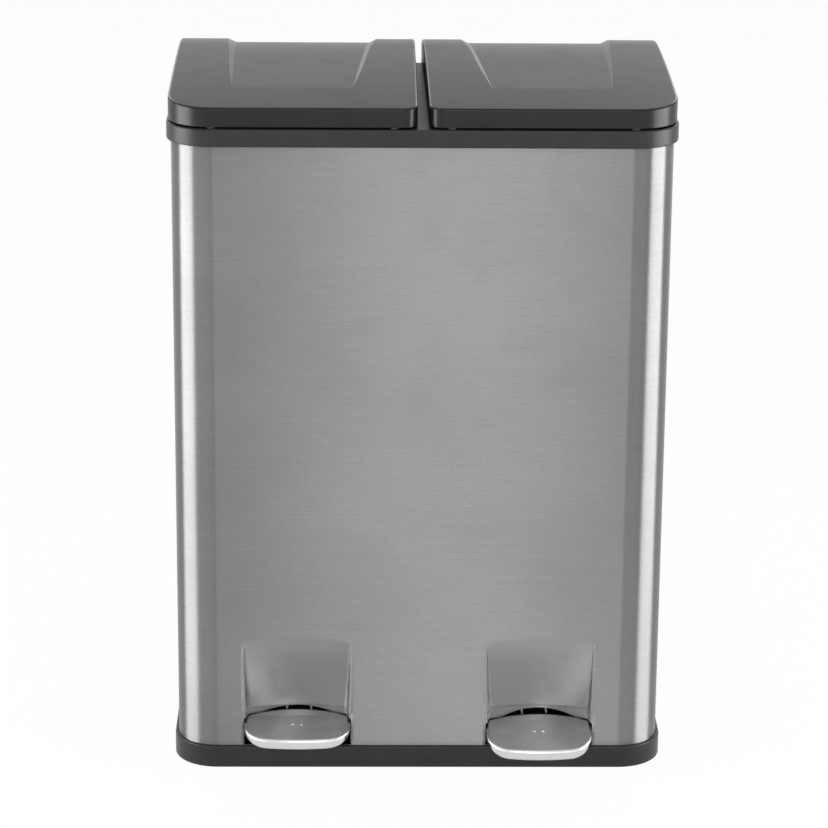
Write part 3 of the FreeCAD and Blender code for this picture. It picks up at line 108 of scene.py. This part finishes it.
class Recipe:
    """A node tree that is being written: a material's or the world's."""

    def __init__(self, tree):
        self.tree = tree
        tree.nodes.clear()

    def add(self, kind, settings=None, values=None):
        """Adds a node: its settings first, then the values or links of its inputs."""
        node = self.tree.nodes.new(kind)
        for name, value in (settings or {}).items():
            setattr(node, name, value)
        for name, value in (values or {}).items():
            self.feed(node.inputs[name], value)
        return Outputs(self, node)

    def feed(self, entry, value):
        if isinstance(value, Socket):
            self.tree.links.new(value.link, entry)
        elif entry.type == "RGBA":
            entry.default_value = (*value, 1.0)
        else:
            entry.default_value = value

    def place(self, scale):
        """Where a point of the piece is, in metres, times a scale along each axis."""
        where = self.add("ShaderNodeTexCoord")["Object"]
        return self.add("ShaderNodeMapping", {}, {"Vector": where, "Scale": scale})[0]

    def facing(self, axis):
        """How far the surface faces along X, Y or Z: -1 to 1."""
        normal = self.add("ShaderNodeNewGeometry")["Normal"]
        return self.add("ShaderNodeSeparateXYZ", {}, {0: normal})[axis]

    def noise(self, size, detail, roughness, stretch=(1.0, 1.0, 1.0)):
        """Soft noise with grains of a size in metres, pulled out long where the stretch is under
        1.
        """
        where = self.place(tuple(part / size for part in stretch))
        values = {"Vector": where, "Scale": 1.0, "Detail": detail, "Roughness": roughness}
        return self.add("ShaderNodeTexNoise", {}, values)["Fac"]

    def cells(self, size):
        """Small round pits of a size in metres: 0 at a pit's middle, and more away from it."""
        values = {"Vector": self.place((1.0 / size,) * 3), "Scale": 1.0}
        return self.add("ShaderNodeTexVoronoi", {}, values)["Distance"]

    def blend(self, amount, first, second):
        """A colour between two others."""
        values = {0: amount, 6: first, 7: second}
        return self.add("ShaderNodeMix", {"data_type": "RGBA"}, values)[2]

    def soft_edges(self, radius):
        """The surface's normal, eased over its sharp edges as on pressed and moulded parts."""
        return self.add("ShaderNodeBevel", {"samples": 6}, {"Radius": radius})[0]

    def bump(self, height, distance, strength, under):
        """The normal of a relief that lies on the one under it; the distance is in metres."""
        values = {"Height": height, "Distance": distance, "Strength": strength, "Normal": under}
        return self.add("ShaderNodeBump", {}, values)[0]

    def seen(self):
        """1 where the eye looks, straight on, by gloss or through glass, and 0 for other light."""
        path = self.add("ShaderNodeLightPath")
        seen = path["Is Camera Ray"].largest(path["Is Glossy Ray"])
        return seen.largest(path["Is Transmission Ray"])

    def finish(self, **values):
        """Ends a material in one Principled surface; underscores in the names stand for spaces."""
        inputs = {name.replace("_", " "): value for name, value in values.items()}
        surface = self.add("ShaderNodeBsdfPrincipled", {}, inputs)[0]
        self.add("ShaderNodeOutputMaterial", {}, {0: surface})


def new_material(name):
    """A material with an empty recipe."""
    material = bpy.data.materials.new(name)
    material.use_nodes = True
    return material, Recipe(material.node_tree)


# ---------------------------------------------------------------- finishes


SHEET_DARK = (0.178, 0.179, 0.181)
SHEET_LIGHT = (0.238, 0.239, 0.242)
# the paler colour painted on the alcoves as painted light
SHEET_PAINTED_LIGHT = (0.270, 0.271, 0.274)
PEDAL_DARK = (0.50, 0.50, 0.504)
PEDAL_LIGHT = (0.62, 0.62, 0.625)
PEDAL_RIM = (0.64, 0.64, 0.644)
ZINC_DARK = (0.30, 0.30, 0.31)
ZINC_LIGHT = (0.48, 0.475, 0.465)
RUBBER_DARK = (0.018, 0.018, 0.018)
RUBBER_LIGHT = (0.045, 0.044, 0.043)


def brushed_sleeve():
    """Stainless sheet brushed round the bin: level scratches, soft clouds, a few finger marks.

    Where the alcoves lean outwards, the sheet faces a little down and is painted a paler colour
    there: painted light on the alcoves.
    """
    material, recipe = new_material("brushed_sleeve")
    fine = recipe.noise(size=0.0005, detail=2.0, roughness=0.7, stretch=(0.02, 0.02, 1.0))
    long = recipe.noise(size=0.0018, detail=3.0, roughness=0.6, stretch=(0.012, 0.012, 1.0))
    speckle = recipe.noise(size=0.0011, detail=2.0, roughness=0.6, stretch=(0.3, 0.3, 1.0))
    clouds = recipe.noise(size=0.14, detail=2.0, roughness=0.45)
    marks = recipe.noise(size=0.045, detail=4.0, roughness=0.6)
    grain = 0.3 * fine + 0.2 * long + 0.26 * speckle + 0.24 * clouds
    plain = recipe.blend(grain.step(low=0.3, high=0.72), SHEET_DARK, SHEET_LIGHT)
    # painted light: surfaces that face a little down, the alcoves, are painted the paler colour
    alcove_painted_light = (0.0 - recipe.facing("Z")).step(low=0.03, high=0.14)
    edges = recipe.soft_edges(radius=0.004)
    recipe.finish(
        Base_Color=recipe.blend(0.75 * alcove_painted_light, plain, SHEET_PAINTED_LIGHT),
        Metallic=1.0,
        Roughness=0.39 + 0.05 * fine + 0.015 * marks.step(low=0.5, high=0.75),
        Normal=recipe.bump(long + 0.6 * fine, distance=0.00003, strength=0.2, under=edges),
        Anisotropic=1.0,
        Anisotropic_Rotation=0.25,
    )
    return material


def brushed_pedal():
    """Brushed plate with a polished rim: the scratches run across the pedal."""
    material, recipe = new_material("brushed_pedal")
    fine = recipe.noise(size=0.0005, detail=2.0, roughness=0.6, stretch=(0.03, 1.0, 1.0))
    rubs = recipe.noise(size=0.012, detail=4.0, roughness=0.6, stretch=(0.5, 1.0, 1.0))
    top = recipe.facing("Z").absolute().step(low=0.85, high=0.985)
    worn = recipe.blend(0.3 * fine + 0.5 * rubs, PEDAL_DARK, PEDAL_LIGHT)
    brushed = 0.14 + 0.12 * fine
    edges = recipe.soft_edges(radius=0.002)
    recipe.finish(
        Base_Color=recipe.blend(top, PEDAL_RIM, worn),
        Metallic=1.0,
        Roughness=0.18 + top * brushed + 0.06 * rubs.step(low=0.5, high=0.7),
        Normal=recipe.bump(fine, distance=0.00003, strength=0.25 * top, under=edges),
    )
    return material


def plated_steel():
    """Zinc plated steel with a faint mottle."""
    material, recipe = new_material("plated_steel")
    mottle = recipe.noise(size=0.006, detail=4.0, roughness=0.6)
    specks = recipe.cells(size=0.0016)
    edges = recipe.soft_edges(radius=0.0003)
    recipe.finish(
        Base_Color=recipe.blend(mottle, ZINC_DARK, ZINC_LIGHT),
        Metallic=1.0,
        Roughness=0.32 + 0.16 * mottle - 0.05 * specks,
        Normal=recipe.bump(mottle, distance=0.0001, strength=0.3, under=edges),
    )
    return material


def moulding(name, dark, light, rough, grain, depth, painted_sheen=None):
    """Moulded plastic with a fine spark grain, faint sinks and dust, and soft edges.

    The grain's size and depth are in metres. The last argument is a paler colour painted on the
    slopes beside a pressed panel, for a moulding that has one: a painted highlight where they face
    sideways.
    """
    material, recipe = new_material(name)
    grains = recipe.noise(size=grain, detail=2.0, roughness=0.6)
    pits = recipe.cells(size=grain * 2.2)
    dust = recipe.noise(size=0.03, detail=5.0, roughness=0.65)
    sinks = recipe.noise(size=0.09, detail=2.0, roughness=0.4)
    dusted = dust.step(low=0.35, high=0.8)
    colour = recipe.blend(0.35 * grains + 0.35 * dusted, dark, light)
    # painted highlight: the slopes that face sideways and up are painted the paler colour
    if painted_sheen:
        side = recipe.facing("X").absolute().step(low=0.05, high=0.25)
        up = recipe.facing("Z").absolute().step(low=0.6, high=0.9)
        colour = recipe.blend(side * up, colour, painted_sheen)
    edges = recipe.soft_edges(radius=0.0008)
    waves = recipe.bump(sinks, distance=0.0006, strength=0.15, under=edges)
    recipe.finish(
        Base_Color=colour,
        Roughness=rough + 0.10 * (grains - 0.5) + 0.05 * dust.step(low=0.45, high=0.8),
        Normal=recipe.bump(grains - 0.6 * pits, distance=depth, strength=0.5, under=waves),
        IOR=1.3,
    )
    return material


def rubber():
    """Matt rubber, paler where it is worn."""
    material, recipe = new_material("rubber")
    grains = recipe.noise(size=0.0008, detail=3.0, roughness=0.6)
    worn = recipe.noise(size=0.006, detail=4.0, roughness=0.6)
    edges = recipe.soft_edges(radius=0.0006)
    recipe.finish(
        Base_Color=recipe.blend(worn.step(low=0.4, high=0.8), RUBBER_DARK, RUBBER_LIGHT),
        Roughness=0.62 + 0.2 * worn,
        Normal=recipe.bump(grains, distance=0.0001, strength=0.5, under=edges),
    )
    return material


FINISHES = {
    "sleeve_steel": brushed_sleeve(),
    "pedal_steel": brushed_pedal(),
    "plated_steel": plated_steel(),
    "black_moulding": moulding(
        "black_moulding",
        dark=(0.014, 0.014, 0.015),
        light=(0.030, 0.030, 0.031),
        rough=0.36,
        grain=0.0006,
        depth=0.00004,
    ),
    "lid_moulding": moulding(
        "lid_moulding",
        dark=(0.006, 0.006, 0.0062),
        light=(0.012, 0.012, 0.0123),
        rough=0.30,
        grain=0.0005,
        depth=0.00002,
        # the paler colour painted on the lid panel's slopes as a painted highlight
        painted_sheen=(0.06, 0.06, 0.06),
    ),
    "bucket_moulding": moulding(
        "bucket_moulding",
        dark=(0.030, 0.030, 0.032),
        light=(0.055, 0.055, 0.058),
        rough=0.42,
        grain=0.0009,
        depth=0.00006,
    ),
    "grey_moulding": moulding(
        "grey_moulding",
        dark=(0.20, 0.20, 0.205),
        light=(0.30, 0.30, 0.305),
        rough=0.42,
        grain=0.0007,
        depth=0.00005,
    ),
    "rubber": rubber(),
}
SLOTS = {row["node"]: row["material_slot"] for row in frame["record"]["subparts"]}


def dress_nodes():
    """Gives every CAD node the finish of its slot in the record."""
    for name, slot in SLOTS.items():
        materials = frame["nodes"][name].data.materials
        materials.clear()
        materials.append(FINISHES[slot])


# ---------------------------------------------------------------- extra pieces


WELD = 1e-6  # corners nearer than this are merged
FACES_DOWN = -0.9  # a face whose normal is lower than this faces down
MICRON = 6  # the decimals of a metre to which places are read from the frame

# The hems behind the pedals: the arches are cut with a cylinder that lies along the depth.
ALCOVE_LEVEL = 0.057  # the alcoves' lower edge
LEVEL_PLAY = 0.0003
ALCOVE_HALF = 0.053
HEM_FOOT = {"left": 0.0505, "right": 0.0456}
ARCH_TOP = {"left": 0.0567, "right": 0.0540}
ARCH_RADIUS = {"left": 0.106, "right": 0.083}
CUTTER_MIDDLE = -0.14
CUTTER_LENGTH = 0.1
CUTTER_SIDES = 180

# The lips of the windows under the hems.
WINDOW_EDGE = 0.052  # a window's upright edge from its middle
LIP_THICKNESS = 0.0005
LIP_DEPTH = 0.0066
LIP_CLEARANCE = 0.0004  # behind the sheet's front, and above the base
LIP_ROUNDING = LIP_THICKNESS / 3

# The screws: how far back they are, the level of their heads, and the cross in each head.
CRANK_SCREWS_BACK = (0.118, 0.144)
CRANK_SCREW_LEVEL = 0.6447
BRACKET_SCREWS_BACK = (-0.065, -0.047)
BRACKET_SCREW_ASIDE = 0.0165
BRACKET_SCREW_LEVEL = 0.00205
CROSS_LENGTH = 0.0034
CROSS_WIDTH = 0.0009
CROSS_DEPTH = 0.0011

# The cup in each foot's sole.
SOLE_RIM = 0.0025
CUP_SLOPE = 0.0006
CUP_DEPTH = 0.0012


def deselect():
    bpy.ops.object.select_all(action="DESELECT")


def activate(piece):
    """Selects one piece alone, and makes it the one that is worked on."""
    deselect()
    piece.select_set(True)
    bpy.context.view_layer.objects.active = piece


def box_of(node_name):
    """A node's lowest and highest corners, to the micron."""
    return [[round(part, MICRON) for part in corner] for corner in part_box(node_name)]


def pedal_middle(side):
    """How far right of the bin's middle a pedal is."""
    low, high = box_of(f"pedal_plate_{side}")
    return (low[0] + high[0]) / 2


def copy_of(node_name, name):
    """A merged copy of a node's mesh as a new piece, with no face selected."""
    piece = bpy.data.objects.new(name, frame["nodes"][node_name].data.copy())
    bpy.context.collection.objects.link(piece)
    activate(piece)
    bpy.ops.object.mode_set(mode="EDIT")
    bpy.ops.mesh.select_all(action="SELECT")
    bpy.ops.mesh.remove_doubles(threshold=WELD)
    bpy.ops.mesh.select_mode(type="FACE")
    bpy.ops.mesh.select_all(action="DESELECT")
    bpy.ops.object.mode_set(mode="OBJECT")
    return piece


def keep_faces(piece, wanted):
    """Leaves the active piece only the faces for which wanted(centre, normal) is true."""
    for face in piece.data.polygons:
        face.select = not wanted(face.center, face.normal)
    bpy.ops.object.mode_set(mode="EDIT")
    bpy.ops.mesh.delete(type="FACE")
    bpy.ops.mesh.select_all(action="SELECT")
    bpy.ops.object.mode_set(mode="OBJECT")


def cut_away(piece, cutter):
    """Takes the cutter's volume out of a piece, and deletes the cutter."""
    activate(piece)
    boolean = piece.modifiers.new("cut", "BOOLEAN")
    boolean.operation = "DIFFERENCE"
    boolean.solver = "EXACT"
    boolean.object = cutter
    bpy.ops.object.modifier_apply(modifier="cut")
    bpy.data.objects.remove(cutter, do_unlink=True)


def dress_like(node_name, piece, body):
    """Gives a new piece a node's finish, and the body that it moves with."""
    slot = SLOTS[node_name]
    piece.data.materials.clear()
    piece.data.materials.append(FINISHES[slot])
    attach(piece, body)


def add_alcove_hem(side):
    """The sheet's edge turned down behind a pedal: an arched lip under the alcove."""
    middle = pedal_middle(side)
    hem = copy_of("steel_sleeve", f"alcove_hem_{side}")

    def is_alcove_edge(centre, normal):
        near = abs(centre.x - middle) < ALCOVE_HALF and centre.y < 0.0
        level = abs(centre.z - ALCOVE_LEVEL) < LEVEL_PLAY
        return near and level and normal.z < FACES_DOWN

    keep_faces(hem, is_alcove_edge)
    bpy.ops.object.mode_set(mode="EDIT")
    down = (0.0, 0.0, HEM_FOOT[side] - ALCOVE_LEVEL)
    bpy.ops.mesh.extrude_region_move(TRANSFORM_OT_translate={"value": down})
    bpy.ops.mesh.select_all(action="SELECT")
    bpy.ops.mesh.normals_make_consistent(inside=False)
    bpy.ops.object.mode_set(mode="OBJECT")
    deselect()
    bpy.ops.mesh.primitive_cylinder_add(
        vertices=CUTTER_SIDES,
        radius=ARCH_RADIUS[side],
        depth=CUTTER_LENGTH,
        location=(middle, CUTTER_MIDDLE, ARCH_TOP[side] - ARCH_RADIUS[side]),
        rotation=(math.radians(90.0), 0.0, 0.0),
    )
    cut_away(hem, bpy.context.object)
    dress_like("steel_sleeve", hem, "housing")


def add_window_lips(side):
    """The sheet turned in along a window's upright edges: one lip, and its copy opposite."""
    sheet_front = box_of("steel_sleeve")[0][1]
    base_top = box_of("base_tray")[1][2]
    front = sheet_front + LIP_CLEARANCE
    foot = base_top + LIP_CLEARANCE
    top = HEM_FOOT[side]
    aside = WINDOW_EDGE - LIP_THICKNESS / 2
    place = (pedal_middle(side) - aside, front + LIP_DEPTH / 2, (foot + top) / 2)
    size = (LIP_THICKNESS, LIP_DEPTH, top - foot)
    deselect()
    bpy.ops.mesh.primitive_cube_add(size=1.0, location=place, scale=size)
    bpy.ops.object.transform_apply(location=True, rotation=True, scale=True)
    bpy.ops.object.mode_set(mode="EDIT")
    bpy.ops.mesh.select_all(action="SELECT")
    bpy.ops.mesh.bevel(offset=LIP_ROUNDING, segments=2)
    bpy.ops.object.mode_set(mode="OBJECT")
    lips = bpy.context.object
    lips.name = f"window_lips_{side}"
    bpy.ops.object.duplicate()
    bpy.ops.transform.translate(value=(2.0 * aside, 0.0, 0.0))
    bpy.ops.object.transform_apply(location=True, rotation=True, scale=True)
    lips.select_set(True)
    bpy.context.view_layer.objects.active = lips
    bpy.ops.object.join()
    dress_like("steel_sleeve", lips, "housing")


def cut_crosses(node_name, body, places, level):
    """A node's screws with a cross recess cut up into each head."""
    screws = copy_of(node_name, f"{node_name}_crossed")
    for x, y in places:
        for arm in ((CROSS_LENGTH, CROSS_WIDTH), (CROSS_WIDTH, CROSS_LENGTH)):
            deselect()
            size = (*arm, 2.0 * CROSS_DEPTH)
            bpy.ops.mesh.primitive_cube_add(size=1.0, location=(x, y, level), scale=size)
            cut_away(screws, bpy.context.object)
    dress_like(node_name, screws, body)
    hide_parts(node_name)


def cup_feet():
    """The rubber feet with a shallow cup sunk in each sole."""
    feet = copy_of("rubber_feet", "rubber_feet_cupped")
    for face in feet.data.polygons:
        face.select = face.normal.z < FACES_DOWN
    bpy.ops.object.mode_set(mode="EDIT")
    bpy.ops.mesh.inset(thickness=SOLE_RIM)
    bpy.ops.mesh.inset(thickness=CUP_SLOPE, depth=-CUP_DEPTH)
    bpy.ops.mesh.select_all(action="SELECT")
    bpy.ops.object.mode_set(mode="OBJECT")
    dress_like("rubber_feet", feet, "housing")
    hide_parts("rubber_feet")


def add_details():
    """The turned edges of the sheet, the crosses in the screws and the cups in the feet."""
    for side in SIDES:
        add_alcove_hem(side)
    for side in SIDES:
        add_window_lips(side)
        middle = pedal_middle(side)
        places = [(middle, y) for y in CRANK_SCREWS_BACK]
        cut_crosses(f"crank_screws_{side}", f"{side}_lid", places, CRANK_SCREW_LEVEL)
        aside = (middle - BRACKET_SCREW_ASIDE, middle + BRACKET_SCREW_ASIDE)
        places = [(x, y) for x in aside for y in BRACKET_SCREWS_BACK]
        cut_crosses(f"bracket_screws_{side}", "housing", places, BRACKET_SCREW_LEVEL)
    cup_feet()


# ---------------------------------------------------------------- studio


WHITE = (1.0, 1.0, 1.0)
FLOOR_TONE = (0.82, 0.82, 0.82)
FLOOR_GLOW = 0.96  # how far the floor is plain white to the eye; the rest of it is lit
FLOOR_SIZE = 40.0
FLOOR_LEVEL = -0.0002  # just under the feet
SKY_LIGHT = 0.45  # the world's strength as a light; to the eye it is 1, which is white

LEFT_CORNER = (-0.2, -0.1, 0.3)
RIGHT_CORNER = (0.2, -0.1, 0.3)
MIDDLE = (0.0, 0.0, 0.35)
LIDS = (0.0, 0.0, 0.65)
# Each soft box: its name, its place, what it is aimed at, its width and height, and its watts.
LAMPS = (
    ("box_left", (-1.62, -0.42, 0.39), LEFT_CORNER, 1.15, 0.80, 33.0),
    ("box_right", (1.60, -0.46, 0.39), RIGHT_CORNER, 1.20, 0.80, 33.0),
    ("fill_left", (-1.26, -1.80, 0.50), LEFT_CORNER, 1.5, 1.0, 5.0),
    ("fill_right", (1.00, -1.95, 0.50), RIGHT_CORNER, 1.1, 1.0, 3.0),
    ("box_front", (0.18, -5.0, 1.1), MIDDLE, 0.7, 2.2, 38.0),
    ("overhead", (0.0, 0.3, 2.6), MIDDLE, 2.0, 1.6, 8.0),
    ("behind_left", (-1.15, 2.5, 1.75), LIDS, 0.9, 0.9, 10.0),
    ("behind_right", (1.15, 2.5, 1.75), LIDS, 0.9, 0.9, 10.0),
)


def pale_floor():
    """A floor that is white to the eye and in reflections, and still takes a soft shadow."""
    material, recipe = new_material("floor_white")
    matt = recipe.add("ShaderNodeBsdfDiffuse", {}, {"Color": FLOOR_TONE})[0]
    glow = recipe.add("ShaderNodeEmission", {}, {"Color": WHITE, "Strength": 1.0})[0]
    share = recipe.seen() * FLOOR_GLOW
    both = recipe.add("ShaderNodeMixShader", {}, {0: share, 1: matt, 2: glow})[0]
    recipe.add("ShaderNodeOutputMaterial", {}, {0: both})
    return material


def set_studio():
    """The floor, and a world that is white to the eye and a soft light from all round."""
    bpy.ops.mesh.primitive_plane_add(size=FLOOR_SIZE, location=(0.0, 0.0, FLOOR_LEVEL))
    floor = bpy.context.object
    floor.name = "studio_floor"
    floor.data.materials.append(pale_floor())
    world = bpy.data.worlds.new("studio")
    bpy.context.scene.world = world
    world.use_nodes = True
    recipe = Recipe(world.node_tree)
    strength = SKY_LIGHT + recipe.seen() * (1.0 - SKY_LIGHT)
    sky = recipe.add("ShaderNodeBackground", {}, {"Color": WHITE, "Strength": strength})[0]
    recipe.add("ShaderNodeOutputWorld", {}, {0: sky})


def set_lamps():
    """Soft boxes: bright at both sides for the corners' highlights, and dimmer all round."""
    for name, place, aim, width, height, watts in LAMPS:
        lamp = bpy.data.lights.new(name, "AREA")
        lamp.shape = "RECTANGLE"
        lamp.size = width
        lamp.size_y = height
        lamp.energy = watts
        item = bpy.data.objects.new(name, lamp)
        bpy.context.collection.objects.link(item)
        turn = (Vector(aim) - Vector(place)).to_track_quat("-Z", "Y")
        item.matrix_world = Matrix.Translation(place) @ turn.to_matrix().to_4x4()


# ---------------------------------------------------------------- camera


CAMERA_PLACE = (-0.0609, -3.0139, 1.2836)
CAMERA_TILT = 17.14  # degrees below level
CAMERA_TURN = -1.08
CAMERA_ROLL = 0.48
CAMERA_SHIFT = -0.05
CAMERA_REACH = 60.0
FOCAL_PIXELS = 3200.0
PICTURE_PIXELS = 828.0
SENSOR_WIDTH = 36.0


def turned(degrees, axis):
    return Matrix.Rotation(math.radians(degrees), 4, axis)


def set_camera():
    """The camera at the photograph's viewing angle."""
    lens = bpy.data.cameras.new("photo_camera")
    lens.sensor_fit = "HORIZONTAL"
    lens.sensor_width = SENSOR_WIDTH
    lens.lens = FOCAL_PIXELS * SENSOR_WIDTH / PICTURE_PIXELS
    lens.shift_y = CAMERA_SHIFT
    lens.clip_end = CAMERA_REACH
    item = bpy.data.objects.new("photo_camera", lens)
    bpy.context.collection.objects.link(item)
    look = turned(CAMERA_TURN, "Z") @ turned(90.0 - CAMERA_TILT, "X") @ turned(CAMERA_ROLL, "Z")
    item.matrix_world = Matrix.Translation(CAMERA_PLACE) @ look
    bpy.context.scene.camera = item


dress_nodes()
add_details()
set_studio()
set_lamps()
set_camera()
bpy.context.scene.view_settings.view_transform = "Standard"
